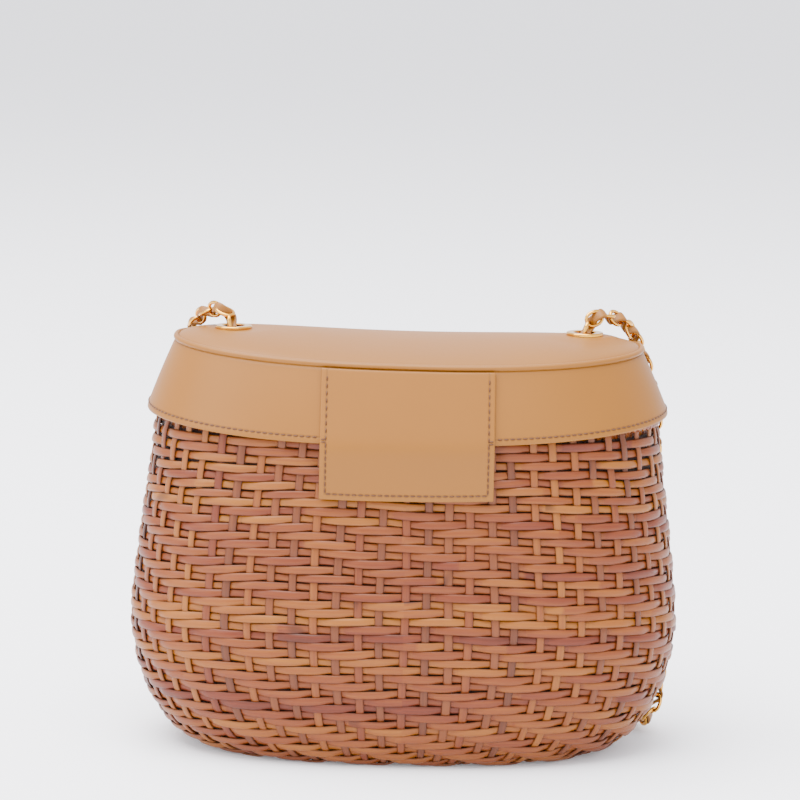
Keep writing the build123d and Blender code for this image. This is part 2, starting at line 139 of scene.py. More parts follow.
class StrapSizes(bpy.types.PropertyGroup):
    """The chain and the ribbon through it"""

    link_length: length("Link length", "Outside length of a link", 8.8)
    link_width: length("Link width", "Outside width of a link", 7.0)
    wire: length("Wire", "Thickness of the links' wire", 1.5)
    link_pitch: length("Link pitch", "From one link to the next", 6.2)
    ribbon_width: length("Ribbon width", "Width of the leather ribbon", 4.6)
    ribbon_thickness: length("Ribbon thickness", "Thickness of the leather ribbon", 1.1)
    ribbon_swing: length("Ribbon swing", "How far the ribbon humps out between links", 2.0)


class BagColours(bpy.types.PropertyGroup):
    """The finishes' colours"""

    leather: colour("Leather", "Smooth tan leather", 121, 74, 6)
    thread: colour("Thread", "Stitching thread", 76, 38, 6)
    cane_pale: colour("Pale cane", "The palest strips of cane", 126, 72, 6)
    cane_mid: colour("Cane", "Most strips of cane", 108, 51, 4)
    cane_red: colour("Red cane", "Redder strips of cane", 90, 31, 3)
    cane_dark: colour("Dark cane", "The darkest strips of cane", 58, 18, 2)
    stake_brown: colour("Brown stakes", "Stakes of darker cane", 84, 38, 8)
    gold: colour("Gold", "Polished gold plate", 210, 154, 64)
    cloth: colour("Cloth", "Lining cloth", 52, 22, 8)
    steel: colour("Steel", "Spring steel", 170, 172, 176)
    board: colour("Board", "Stiff board", 120, 96, 70)
    floor: colour("Floor", "Pale studio floor", 236, 236, 240)


def sizes():
    """The four groups of settings: basket, lid, strap, colours."""
    scene = bpy.context.scene
    return scene.bag_basket, scene.bag_lid, scene.bag_strap, scene.bag_colours


# ------------------------------------------------------------------ ovals and the basket's side

OVAL_POWER = 2.45


def oval(turn):
    """Points of the unit oval |x|^n + |y|^n = 1 at each turn."""
    c, s = np.cos(turn), np.sin(turn)
    return np.sign(c) * np.abs(c) ** (2 / OVAL_POWER), np.sign(s) * np.abs(s) ** (2 / OVAL_POWER)


def evenly_round(around, half_x, half_y):
    """Turns at shares of the way round an oval, from the middle of the hinge side towards +X."""
    turns = np.linspace(-pi / 2, 3 * pi / 2, 8001)
    x, y = oval(turns)
    run = np.concatenate([[0], np.cumsum(np.hypot(np.diff(x * half_x), np.diff(y * half_y)))])
    return np.interp(np.mod(around, 1), run / run[-1], turns), run[-1]


def basket_side(basket, floor=0.0, inset=0.0):
    """The basket's side from its base to its rim: length up the side, half length, half depth and height."""
    rise = np.linspace(0, pi / 2, 160)
    above = np.linspace(0, 1, 121)[1:]
    draw = above**1.25
    half_x = np.concatenate([
        basket.base_x + (basket.belly_x - inset - basket.base_x) * np.sin(rise),
        basket.belly_x - inset - draw * (basket.belly_x - basket.rim_x),
    ])
    half_y = np.concatenate([
        basket.base_y + (basket.belly_y - inset - basket.base_y) * np.sin(rise),
        basket.belly_y - inset - draw * (basket.belly_y - basket.rim_y),
    ])
    height = np.concatenate([
        basket.belly_z - (basket.belly_z - floor) * np.cos(rise),
        basket.belly_z + above * (basket.rim_z - basket.belly_z),
    ])
    step = np.hypot(np.diff((half_x + half_y) / 2), np.diff(height))
    return np.concatenate([[0], np.cumsum(step)]), half_x, half_y, height


def on_basket(basket, around, up, out):
    """Points and the face's normals, from a share of the way round, a length up the side and a distance out."""
    run, half_x, half_y, height = basket_side(basket)
    turn, _ = evenly_round(around, basket.belly_x, basket.belly_y)
    ux, uy = oval(turn)
    hx, hy, z = (np.interp(up, run, table) for table in (half_x, half_y, height))
    dx, dy, dz = (np.interp(up, run, np.gradient(table, run)) for table in (half_x, half_y, height))
    nx = np.sign(ux) * np.abs(ux) ** (OVAL_POWER - 1) / hx
    ny = np.sign(uy) * np.abs(uy) ** (OVAL_POWER - 1) / hy
    flat = np.hypot(nx, ny)
    nx, ny = nx / flat, ny / flat
    spread = dx * ux * nx + dy * uy * ny
    steep = np.hypot(dz, spread)
    normal = np.stack([nx * dz / steep, ny * dz / steep, -spread / steep], -1)
    near_rim = np.clip((z - 0.114) / 0.018, 0, 1)
    sag = basket.end_sag * np.abs(ux) ** 3 * np.clip(z / 0.08, 0, 1) * (1 - near_rim * near_rim * (3 - 2 * near_rim))
    place = np.stack([hx * ux, hy * uy, z * np.ones_like(ux) - sag], -1)
    return place + normal * np.asarray(out)[..., None], normal


def unit(vectors):
    return vectors / np.maximum(np.linalg.norm(vectors, axis=-1, keepdims=True), 1e-12)


# ------------------------------------------------------------------ meshes


def new_piece(name, mesh):
    """An object for a finished mesh."""
    piece = bpy.data.objects.new(name, mesh)
    bpy.context.scene.collection.objects.link(piece)
    return piece


def woven_mesh(name, points, closed=True, along=None, across=None, tone=None, hue=None):
    """A mesh from points in (pieces, rings, section) order. Sections are closed, rings are closed or capped.
    along is the length at each ring with one more ring than points, across the place on each section point."""
    pieces, rings, section, _ = points.shape
    index = np.arange(pieces * rings * section).reshape(pieces, rings, section)
    ring_on, section_on = np.roll(index, -1, 1), np.roll(index, -1, 2)
    both_on = np.roll(ring_on, -1, 2)
    faces = np.stack([index, section_on, both_on, ring_on], -1)
    last = rings if closed else rings - 1
    faces = faces[:, :last]
    loops = faces.reshape(-1)
    starts = np.arange(0, loops.size, 4)
    caps = 0
    if not closed:
        ends = np.concatenate([index[:, 0, ::-1], index[:, -1]])
        starts = np.concatenate([starts, loops.size + section * np.arange(len(ends))])
        caps = ends.size
        loops = np.concatenate([loops, ends.reshape(-1)])
    mesh = bpy.data.meshes.new(name)
    mesh.vertices.add(index.size)
    mesh.vertices.foreach_set("co", points.astype(np.float32).reshape(-1))
    mesh.loops.add(loops.size)
    mesh.loops.foreach_set("vertex_index", loops.astype(np.int32))
    mesh.polygons.add(starts.size)
    mesh.polygons.foreach_set("loop_start", starts.astype(np.int32))
    mesh.polygons.foreach_set("use_smooth", np.ones(starts.size, bool))
    if along is not None:
        if across.ndim == 1:
            across = np.broadcast_to(across, (pieces, section))
        u = np.stack([along[:, :last], along[:, :last], along[:, 1 : last + 1], along[:, 1 : last + 1]], -1)
        u = np.broadcast_to(u[:, :, None, :], (pieces, last, section, 4))
        side = np.stack([across, np.roll(across, -1, 1), np.roll(across, -1, 1), across], -1)
        side = np.broadcast_to(side[:, None], (pieces, last, section, 4))
        uv = np.stack([u, side], -1).reshape(-1)
        uv = np.concatenate([uv, np.zeros(2 * caps)])
        mesh.uv_layers.new(name="strip").data.foreach_set("uv", uv.astype(np.float32))
    for label, values in (("tone", tone), ("hue", hue)):
        if values is not None:
            spread = np.broadcast_to(values[..., None], (pieces, rings, section)).reshape(-1)
            mesh.attributes.new(label, "FLOAT", "POINT").data.foreach_set("value", spread.astype(np.float32))
    mesh.update(calc_edges=True)
    mesh.validate()
    return mesh


STRIP_SECTION = np.array([
    (-1, -0.1), (-0.88, 0.24), (-0.48, 0.44), (0, 0.5), (0.48, 0.44), (0.88, 0.24), (1, -0.1),
    (0.86, -0.48), (-0.86, -0.48),
])


def strips(name, centre, out, width, thickness, closed, offset, tone, hue=None, section=STRIP_SECTION):
    """Flat strips with a domed face along lines of points, their face turned to out."""
    if closed:
        tangent = unit(np.roll(centre, -1, 1) - np.roll(centre, 1, 1))
        step = np.linalg.norm(np.roll(centre, -1, 1) - centre, axis=-1)
    else:
        tangent = unit(np.gradient(centre, axis=1))
        step = np.linalg.norm(np.diff(centre, axis=1, append=centre[:, -1:]), axis=-1)
    across = unit(np.cross(tangent, out))
    out = unit(np.cross(across, tangent))
    run = np.concatenate([np.zeros((len(centre), 1)), np.cumsum(step, 1)], 1) + offset[:, None]
    width, thickness = np.broadcast_to(width, centre.shape[:2]), np.broadcast_to(thickness, centre.shape[:2])
    w, t = section[:, 0], section[:, 1]
    points = (
        centre[:, :, None]
        + across[:, :, None] * (width[..., None] / 2 * w)[..., None]
        + out[:, :, None] * (thickness[..., None] * t)[..., None]
    )
    return woven_mesh(name, points, closed, run, w * float(np.mean(width)) / 2, tone, hue)


def round_rows(ux, uy, rows):
    """Points of a profile's rows of (half length, half depth, height) carried round the oval."""
    height = np.broadcast_to(rows[:, 2], (len(ux), len(rows)))
    return np.stack([ux[:, None] * rows[:, 0], uy[:, None] * rows[:, 1], height], -1)


def ring_mesh(name, rows, count=360, heights=None):
    """A ring from a closed profile of (half length, half depth, height): down the outside, then up the inside."""
    rows = np.asarray(rows)
    turn, round_length = evenly_round(np.arange(count) / count, rows[0, 0], rows[0, 1])
    ux, uy = oval(turn)
    points = round_rows(ux, uy, rows)
    along = np.linspace(0, round_length, count + 1)[None]
    across = np.asarray(heights if heights is not None else rows[:, 2] - rows[:, 2].min())
    return woven_mesh(name, points[None], True, along, across)


def welded(mesh, distance=1e-6):
    """Merges points that lie together and clears faces that this leaves empty."""
    work = bmesh.new()
    work.from_mesh(mesh)
    bmesh.ops.remove_doubles(work, verts=work.verts, dist=distance)
    bmesh.ops.dissolve_degenerate(work, edges=work.edges, dist=distance)
    work.to_mesh(mesh)
    work.free()
    return mesh


def choose(piece):
    """Selects one object alone and makes it active."""
    bpy.ops.object.select_all(action="DESELECT")
    piece.select_set(True)
    bpy.context.view_layer.objects.active = piece


def apply_modifiers(piece):
    choose(piece)
    for modifier in list(piece.modifiers):
        bpy.ops.object.modifier_apply(modifier=modifier.name)


def bore(piece, radius):
    """Cuts the two eyelet holes through a piece."""
    for node in ("eyelet_left", "eyelet_right"):
        low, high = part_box(node)
        bpy.ops.object.select_all(action="DESELECT")
        bpy.ops.mesh.primitive_cylinder_add(
            vertices=48, radius=radius, depth=0.03, location=((low.x + high.x) / 2, 0, (low.z + high.z) / 2)
        )
        drill = bpy.context.active_object
        cut = piece.modifiers.new("hole", "BOOLEAN")
        cut.operation, cut.solver, cut.object = "DIFFERENCE", "EXACT", drill
        apply_modifiers(piece)
        bpy.data.objects.remove(drill)


# ------------------------------------------------------------------ finishes


class Wire:
    """A value in a material, with arithmetic that adds its Math nodes."""

    def __init__(self, finish, socket):
        self.finish, self.socket = finish, socket

    def maths(self, operation, *others, clamp=False):
        settings = {"operation": operation, "use_clamp": clamp}
        return self.finish.add("ShaderNodeMath", settings, dict(enumerate((self, *others))))

    def __add__(self, other):
        return self.maths("ADD", other)

    def __sub__(self, other):
        return self.maths("SUBTRACT", other)

    def __mul__(self, other):
        return self.maths("MULTIPLY", other)

    def __truediv__(self, other):
        return self.maths("DIVIDE", other)

    def __rsub__(self, other):
        return self.finish.add("ShaderNodeMath", {"operation": "SUBTRACT"}, {0: other, 1: self})

    __radd__, __rmul__ = __add__, __mul__

    def __abs__(self):
        return self.maths("ABSOLUTE")

    def least(self, other):
        return self.maths("MINIMUM", other)

    def most(self, other):
        return self.maths("MAXIMUM", other)

    def step(self, low, high):
        """0 at low, 1 at high, smooth between."""
        sockets = {"Value": self, "From Min": low, "From Max": high}
        return self.finish.add("ShaderNodeMapRange", {"interpolation_type": "SMOOTHSTEP"}, sockets)


class Finish:
    """One material and its nodes."""

    def __init__(self, name, **shader):
        self.material = bpy.data.materials.new(name)
        self.material.use_nodes = True
        self.tree = self.material.node_tree
        self.shader = self.tree.nodes["Principled BSDF"]
        self.set(**shader)

    def add(self, kind, settings=None, sockets=None, output=0):
        """A node of a kind, with its settings, then the values or links of its sockets."""
        node = self.tree.nodes.new(kind)
        settings = dict(settings or {})
        stops = settings.pop("stops", None)
        for name, value in settings.items():
            setattr(node, name, value)
        if stops:
            while len(node.color_ramp.elements) < len(stops):
                node.color_ramp.elements.new(0.5)
            for element, (place, shade) in zip(node.color_ramp.elements, stops):
                element.position = place
                element.color = (*shade, 1)
        self.feed(node, sockets or {})
        return Wire(self, node.outputs[output])

    def feed(self, node, sockets):
        for key, value in sockets.items():
            socket = node.inputs[key]
            if isinstance(value, Wire):
                self.tree.links.new(value.socket, socket)
            elif hasattr(value, "__len__") and len(value) == 3 and socket.type == "RGBA":
                socket.default_value = (*value, 1)
            else:
                socket.default_value = value

    def set(self, **shader):
        """Sets or links the shader's own sockets, with _ for a space."""
        self.feed(self.shader, {key.replace("_", " "): value for key, value in shader.items()})

    def place(self):
        """Object coordinates."""
        return self.add("ShaderNodeTexCoord", output=3)

    def strip(self):
        """The piece's own map: length along, place across."""
        split = self.add("ShaderNodeSeparateXYZ", None, {0: self.add("ShaderNodeUVMap", {"uv_map": "strip"})})
        return split, Wire(self, split.socket.node.outputs[1])

    def attribute(self, name):
        return self.add("ShaderNodeAttribute", {"attribute_name": name}, output=2)

    def vector(self, x, y, z):
        return self.add("ShaderNodeCombineXYZ", None, {0: x, 1: y, 2: z})

    def noise(self, vector, scale, detail=2.0, roughness=0.5):
        sockets = {"Vector": vector, "Scale": scale, "Detail": detail, "Roughness": roughness}
        return self.add("ShaderNodeTexNoise", None, sockets)

    def wave(self, vector, scale, direction, distortion=0.0):
        sockets = {"Vector": vector, "Scale": scale, "Distortion": distortion}
        return self.add("ShaderNodeTexWave", {"bands_direction": direction}, sockets, output=1)

    def mix(self, factor, first, second):
        """A colour between two colours."""
        return self.add("ShaderNodeMix", {"data_type": "RGBA"}, {0: factor, 6: first, 7: second}, output=2)

    def bump(self, height, depth, strength=1.0):
        """Feeds a height from 0 to 1 into the shader's normal, depth metres high."""
        sockets = {"Height": height, "Distance": depth, "Strength": strength}
        self.set(Normal=self.add("ShaderNodeBump", None, sockets))


def dim(shade, share):
    return tuple(part * share for part in shade)


def cane_finish(name, colours):
    """Split cane: long fibres, a waxy face, nicks and node marks, painted shade along each strip's two edges, each
    strip with its own tone.
    """
    finish = Finish(name, Coat_Weight=0.06, Coat_Roughness=0.3, Specular_IOR_Level=0.28)
    along, across = finish.strip()
    tone, hue = finish.attribute("tone"), finish.attribute("hue")
    fibre = finish.noise(finish.vector(along * 55, across * 3600, tone * 31), 1.0, 3.0, 0.62)
    streak = finish.noise(finish.vector(along * 24, across * 900, tone * 57), 1.0, 2.0)
    patch = finish.noise(finish.vector(along * 30, 0.0, tone * 83), 1.0, 1.0)
    nodes = finish.noise(finish.vector(along * 42, across * 120, tone * 19), 1.0, 1.0).step(0.70, 0.78)
    level = tone + (fibre - 0.5) * 0.34 + (streak - 0.5) * 0.42 + (patch - 0.5) * 0.36
    shades = colours.cane_pale, colours.cane_mid, colours.cane_red, colours.cane_dark, colours.stake_brown
    pale, mid, red, dark, stake = (tuple(shade) for shade in shades)
    ramp = {"stops": [(0.0, dark), (0.26, red), (0.55, mid), (0.86, pale)]}
    face = finish.add("ShaderNodeValToRGB", ramp, {0: level})
    brown = finish.mix(level.step(0.1, 0.9), dim(stake, 0.45), dim(stake, 1.35))
    face = finish.mix(hue, face, brown)
    # Painted shade: the colour darkens towards each strip's two edges, where the strips meet. The node marks darken it
    # too, as real marks.
    edge = abs(across).step(0.00105, 0.0015)
    node_marks_and_edge_shade = (nodes * 0.55 + edge * 0.5).least(1.0)
    finish.set(Base_Color=finish.mix(node_marks_and_edge_shade, face, dim(dark, 0.55)), Roughness=0.36 + fibre * 0.2 + nodes * 0.12)
    finish.bump(fibre * 0.6 + streak * 0.4 - nodes * 0.5, 0.00022, 0.7)
    return finish.material


def leather_finish(name, shade, groove=None):
    """Smooth calf: a fine grain, soft mottling, a satin face, and a sunk line under the stitches, its colour darkened
    there with painted shade.
    """
    finish = Finish(name, Coat_Weight=0.05, Coat_Roughness=0.35, Specular_IOR_Level=0.3)
    place = finish.place()
    cells = finish.add("ShaderNodeTexVoronoi", {"feature": "F1"}, {"Vector": place, "Scale": 1500.0, "Randomness": 1.0})
    grain = finish.noise(place, 700.0, 3.0, 0.6)
    mottle = finish.noise(place, 38.0, 3.0)
    slow = finish.noise(place, 11.0, 2.0)
    shade = tuple(shade)
    base = finish.mix(mottle.step(0.3, 0.7) * 0.5 + slow.step(0.3, 0.7) * 0.5, dim(shade, 0.965), dim(shade, 1.03))
    base = finish.mix(grain.step(0.55, 0.8) * 0.1, base, dim(shade, 0.88))
    height = grain * 0.4 - cells * 0.3
    rough = 0.4 + mottle * 0.12 + grain * 0.06
    if groove:
        sunk = groove(finish)
        # Painted shade in the sunk line: its colour darkens there, besides the real dip that the bump gives it.
        base = finish.mix(sunk * 0.4, base, dim(shade, 0.5))
        height = height - sunk * 14.0
    finish.set(Base_Color=base, Roughness=rough)
    finish.bump(height, 0.000012, 0.4)
    return finish.material


def side_groove(lid):
    """The sunk line above the lid's lower edge."""

    def groove(finish):
        _, up = finish.strip()
        return 1 - abs(up - lid.stitch_margin).step(0.00015, 0.0006)

    return groove


def tab_groove(lid):
    """The sunk line inside a tab's two sides and its lower edge."""

    def groove(finish):
        side, up = finish.strip()
        inside = (lid.tab_width / 2 - abs(side)).least(up)
        return 1 - abs(inside - lid.stitch_margin).step(0.00015, 0.0006)

    return groove


def metal_finish(name, shade, roughness):
    """Plated metal with faint polishing marks."""
    finish = Finish(name, Metallic=1.0)
    place = finish.place()
    marks = finish.noise(place, 420.0, 3.0)
    slow = finish.noise(place, 60.0, 2.0)
    finish.set(
        Base_Color=finish.mix(slow, dim(tuple(shade), 0.9), tuple(shade)), Roughness=roughness + marks * 0.12
    )
    finish.bump(marks, 0.00002, 0.3)
    return finish.material


def cloth_finish(name, shade):
    """Plain woven lining cloth."""
    finish = Finish(name, Sheen_Weight=0.15)
    place = finish.place()
    threads = finish.wave(place, 420.0, "Z", 1.5).most(finish.wave(place, 420.0, "X", 1.5))
    finish.set(Base_Color=finish.mix(threads, dim(tuple(shade), 0.6), tuple(shade)), Roughness=0.8 + threads * 0.1)
    finish.bump(threads, 0.00008, 0.6)
    return finish.material


def board_finish(name, shade):
    """Stiff pressed board."""
    finish = Finish(name)
    fibres = finish.noise(finish.place(), 500.0, 4.0, 0.7)
    finish.set(Base_Color=finish.mix(fibres, dim(tuple(shade), 0.7), tuple(shade)), Roughness=0.75 + fibres * 0.15)
    finish.bump(fibres, 0.0001, 0.5)
    return finish.material


def thread_finish(name, shade):
    """Waxed thread with its twist."""
    finish = Finish(name, Specular_IOR_Level=0.4)
    along, across = finish.strip()
    twist = finish.wave(finish.vector(along + across * 1.6, 0.0, 0.0), 900.0, "X")
    shade = tuple(shade)
    finish.set(Base_Color=finish.mix(twist, dim(shade, 0.7), dim(shade, 1.15)), Roughness=0.5 + twist * 0.1)
    finish.bump(twist, 0.00005, 0.5)
    return finish.material


def finish_named(name):
    """A finish by name, made when it is first needed."""
    if name not in bpy.data.materials:
        _, lid, _, colours = sizes()
        makers = {
            "split_cane": lambda: cane_finish("split_cane", colours),
            "smooth_calf": lambda: leather_finish("smooth_calf", colours.leather),
            "lid_side_leather": lambda: leather_finish("lid_side_leather", colours.leather, side_groove(lid)),
            "tab_leather": lambda: leather_finish("tab_leather", colours.leather, tab_groove(lid)),
            "thread": lambda: thread_finish("thread", colours.thread),
            "gold": lambda: metal_finish("gold", colours.gold, 0.1),
            "steel": lambda: metal_finish("steel", colours.steel, 0.25),
            "cloth": lambda: cloth_finish("cloth", colours.cloth),
            "pressed_board": lambda: board_finish("pressed_board", colours.board),
        }
        makers[name]()
    return bpy.data.materials[name]


def settle(piece, finish, body, slot, *nodes):
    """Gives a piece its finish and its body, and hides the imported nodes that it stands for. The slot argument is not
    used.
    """
    piece.data.materials.append(finish_named(finish))
    if body:
        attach(piece, body)
    if nodes:
        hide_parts(*nodes)
    return piece


# ------------------------------------------------------------------ the camera and the strap


class BAG_OT_camera(bpy.types.Operator):
    """Set the camera a little above the bag, square to its hinge side"""

    bl_idname = "bag.camera"
    bl_label = "Camera"

    def execute(self, context):
        tip, roll, away = radians(8.5), radians(1.15), 1.25
        target = Vector((-0.0031, 0, 0.1386))
        ahead = Vector((0, cos(tip), -sin(tip)))
        level, upright = Vector((1, 0, 0)), Vector((0, sin(tip), cos(tip)))
        right = level * cos(roll) + upright * sin(roll)
        up = upright * cos(roll) - level * sin(roll)
        bpy.ops.object.camera_add()
        camera = context.active_object
        camera.name = "camera"
        turned = Matrix((right, up, -ahead)).transposed().to_4x4()
        camera.matrix_world = Matrix.Translation(target - ahead * away) @ turned
        camera.data.lens = 140.7
        camera.data.sensor_width = 36
        camera.data.clip_start, camera.data.clip_end = 0.05, 120
        context.scene.camera = camera
        return {"FINISHED"}


def strap_route():
    """The strap's points, from one eyelet down behind the bag, round the floor, and up to the other."""
    low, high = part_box("eyelet_left")
    eyelet, end, lay = abs(low.x + high.x) / 2 / MM, low.z / MM, 3.6
    route = [
        (-eyelet, 0, end), (-eyelet, 0, 171), (-76.5, 4, 174), (-83, 14, 170.5), (-88, 25, 164.5), (-90, 33, 152),
        (-93, 37, 133), (-95, 42, 108), (-96, 49, 80), (-95, 58, 52), (-92, 68, 28), (-87, 79, 10),
        (-76, 94, lay), (-55, 113, lay), (-28, 124, lay), (4, 127, lay), (37, 121, lay), (63, 106, lay),
        (79, 84, lay), (88, 60, lay), (96, 36, lay), (101, 13, 5.5), (106, 13, 21), (105.5, 28, 36),
        (104, 39, 50), (102, 42, 74), (101, 38, 98), (102.5, 32, 119), (101, 30, 138), (95.5, 26, 155),
        (90, 20, 166.5), (84, 11, 172), (76.5, 3, 174), (eyelet, 0, 171), (eyelet, 0, end),
    ]
    return [Vector(point) * MM for point in route]


def strap_line():
    """The strap's smooth line as points close together, read from one spline."""
    curve = bpy.data.curves.new("strap_line", "CURVE")
    curve.dimensions = "3D"
    curve.resolution_u = 24
    spline = curve.splines.new("NURBS")
    route = strap_route()
    spline.points.add(len(route) - 1)
    for point, place in zip(spline.points, route):
        point.co = (*place, 1)
    spline.order_u = 3
    spline.use_endpoint_u = True
    holder = bpy.data.objects.new("strap_line", curve)
    bpy.context.scene.collection.objects.link(holder)
    mesh = bpy.data.meshes.new_from_object(holder)
    points = np.array([vertex.co[:] for vertex in mesh.vertices])
    bpy.data.objects.remove(holder)
    bpy.data.meshes.remove(mesh)
    return points


def along_line(points, places):
    """Points at lengths along a line."""
    run = np.concatenate([[0], np.cumsum(np.linalg.norm(np.diff(points, axis=0), axis=1))])
    return np.stack([np.interp(places, run, points[:, axis]) for axis in range(3)], -1)


def carried_frames(points, first_side):
    """Tangents and sides along a line, the side carried along it without twist."""
    tangent = unit(np.gradient(points, axis=0))
    side = np.zeros_like(points)
    here = np.array(first_side, float)
    for index, direction in enumerate(tangent):
        here = here - direction * here.dot(direction)
        here = here / np.linalg.norm(here)
        side[index] = here
    return tangent, side, np.cross(tangent, side)


class BAG_OT_strap(bpy.types.Operator):
    """Link the chain strap and weave its leather ribbon through it"""

    bl_idname = "bag.strap"
    bl_label = "Chain strap"

    def execute(self, context):
        _, _, strap, _ = sizes()
        line = strap_line()
        total = float(np.linalg.norm(np.diff(line, axis=0), axis=1).sum())
        count = int(total / strap.link_pitch)
        chance = np.random.default_rng(11)

        fine = along_line(line, np.linspace(0, total, count * 8 + 1))
        tangent, side, face = carried_frames(fine, (1, 0, 0))
        centres = np.arange(count) * 8 + 4
        turn = np.radians(np.where(np.arange(count) % 2 == 0, 38, -42) + chance.normal(0, 5, count))
        turn[:2], turn[-2:] = (0, np.radians(75)), (np.radians(75), 0)
        wide = side[centres] * np.cos(turn)[:, None] + face[centres] * np.sin(turn)[:, None]
        step = np.linspace(0, 2 * pi, 20, endpoint=False)
        reach = (strap.link_length - strap.wire) / 2, (strap.link_width - strap.wire) / 2
        ux, uy = (np.sign(wave) * np.abs(wave) ** 0.85 for wave in (np.cos(step), np.sin(step)))
        ring = (
            fine[centres][:, None]
            + tangent[centres][:, None] * (ux * reach[0])[None, :, None]
            + wide[:, None] * (uy * reach[1])[None, :, None]
        )
        normal = np.broadcast_to(np.cross(tangent[centres], wide)[:, None], ring.shape)
        spin = np.linspace(0, 2 * pi, 8, endpoint=False)
        section = np.stack([-np.cos(spin), np.sin(spin) * 0.5], -1)
        tone = np.zeros(ring.shape[:2])
        mesh = strips("chain_links", ring, normal, strap.wire, strap.wire, True, np.zeros(count), tone, section=section)
        links = settle(new_piece("chain_links", mesh), "gold", "lid", "gold_metal", "chain_strap")

        sway = np.cos(np.arange(len(fine)) * 2 * pi / 16)
        swing = sway * strap.ribbon_swing
        ends = np.minimum(np.arange(len(fine)), np.arange(len(fine))[::-1]) / 12
        swing = swing * np.clip(ends, 0, 1)
        flat = face * np.cos(radians(8)) + side * np.sin(radians(8))
        middle = fine + flat * swing[:, None]
        width = strap.ribbon_width * (0.84 + 0.16 * np.abs(sway))
        ribbon_section = np.array([
            (-1, 0.0), (-0.96, 0.34), (-0.6, 0.5), (0, 0.5), (0.6, 0.5), (0.96, 0.34), (1, 0.0),
            (0.96, -0.34), (0.6, -0.5), (0, -0.5), (-0.6, -0.5), (-0.96, -0.34),
        ])
        mesh = strips(
            "strap_ribbon", middle[None], flat[None], width[None], strap.ribbon_thickness, False,
            np.zeros(1), np.zeros((1, len(fine))), section=ribbon_section,
        )
        ribbon = settle(new_piece("strap_ribbon", mesh), "smooth_calf", "lid", "tan_leather")
        return {"FINISHED"}


# ------------------------------------------------------------------ the basket


def twill(stake, row):
    """1 where a woven row passes over a stake, -1 where it passes under, with a two by two twill."""
    wave = np.cos(2 * pi * (stake - row - 0.5) / 4)
    return np.tanh(1.7 * wave) / np.tanh(1.7)


def row_layout(basket):
    """The number of woven rows, the first one's place up the side, and their pitch."""
    run = basket_side(basket)[0][-1]
    first = basket.row_pitch * 0.6
    count = int((run - first - 2.4 * MM) / basket.row_pitch)
    return count, first, (run - first - 2.4 * MM) / count


def drift(around, row, chance_phase):
    """A slow unevenness of the rows, shared by neighbours."""
    a, b, c = chance_phase
    return (
        0.42 * np.sin(2 * pi * (3 * around + 0.02 * row + a))
        + 0.3 * np.sin(2 * pi * (7 * around - 0.035 * row + b))
        + 0.16 * np.sin(2 * pi * (17 * around + 0.06 * row + c))
    ) * MM


class BAG_OT_rows(bpy.types.Operator):
    """Weave the rows of flat cane round the basket"""

    bl_idname = "bag.rows"
    bl_label = "Woven rows"

    def execute(self, context):
        basket = sizes()[0]
        chance = np.random.default_rng(5)
        phase = chance.random(3)
        count, first, pitch = row_layout(basket)
        samples = basket.stakes * 6
        around = np.arange(samples) / samples
        row = np.arange(count)[:, None]
        from_top = count - 1 - row
        shake = chance.normal(0, 0.1 * MM, (count, 1))
        steady = np.clip(row / 3, 0, 1) * np.clip((count - 1 - row) / 3, 0, 1)
        up = first + row * pitch + (drift(around[None], row, phase) + shake) * steady
        floats = twill(around[None] * basket.stakes, from_top)
        swing = basket.row_swing * (1 + chance.normal(0, 0.06, (count, 1)))
        lie = np.broadcast_to(around[None], up.shape)
        centre, normal = on_basket(basket, lie, up, -basket.weave_inset + swing * floats)
        cell = np.floor((around[None] * basket.stakes - from_top - 0.5 + 1) / 4).astype(int)
        float_roll = chance.normal(0, 1, (count, basket.stakes))
        own = np.take_along_axis(float_roll, np.mod(cell, basket.stakes // 4), 1)
        rise = np.stack([np.zeros_like(up), np.zeros_like(up), np.ones_like(up)], -1)
        tilt = chance.normal(0.06, 0.07, (count, 1)) + own * 0.05
        face = unit(normal + rise * tilt[..., None])

        tone = np.zeros((count, samples))
        for index in range(count):
            joins = np.sort(chance.random(chance.integers(2, 4)))
            tones = np.clip(chance.normal(0.56, 0.13, len(joins) + 1), 0.12, 0.92)
            tones[-1] = tones[0]
            tone[index] = tones[np.searchsorted(joins, around)]
        tone += own * 0.05
        height = centre[..., 2]
        tone -= 0.13 * np.exp(-(((height - 0.084) / 0.011) ** 2)) + 0.08 * np.exp(-(((height - 0.03) / 0.01) ** 2))
        tone = np.clip(tone, 0.03, 0.98)
        width = basket.row_width * (1 + chance.normal(0, 0.035, (count, 1)) + 0.05 * floats)
        offset = chance.random(count) * 3
        half = count // 2
        for name, part in (("woven_rows_low", slice(0, half)), ("woven_rows_high", slice(half, count))):
            mesh = strips(
                name, centre[part], face[part], width[part], basket.cane, True, offset[part], tone[part],
                np.zeros_like(tone[part]),
            )
            settle(new_piece(name, mesh), "split_cane", "basket", "cane", "woven_basket")
        return {"FINISHED"}


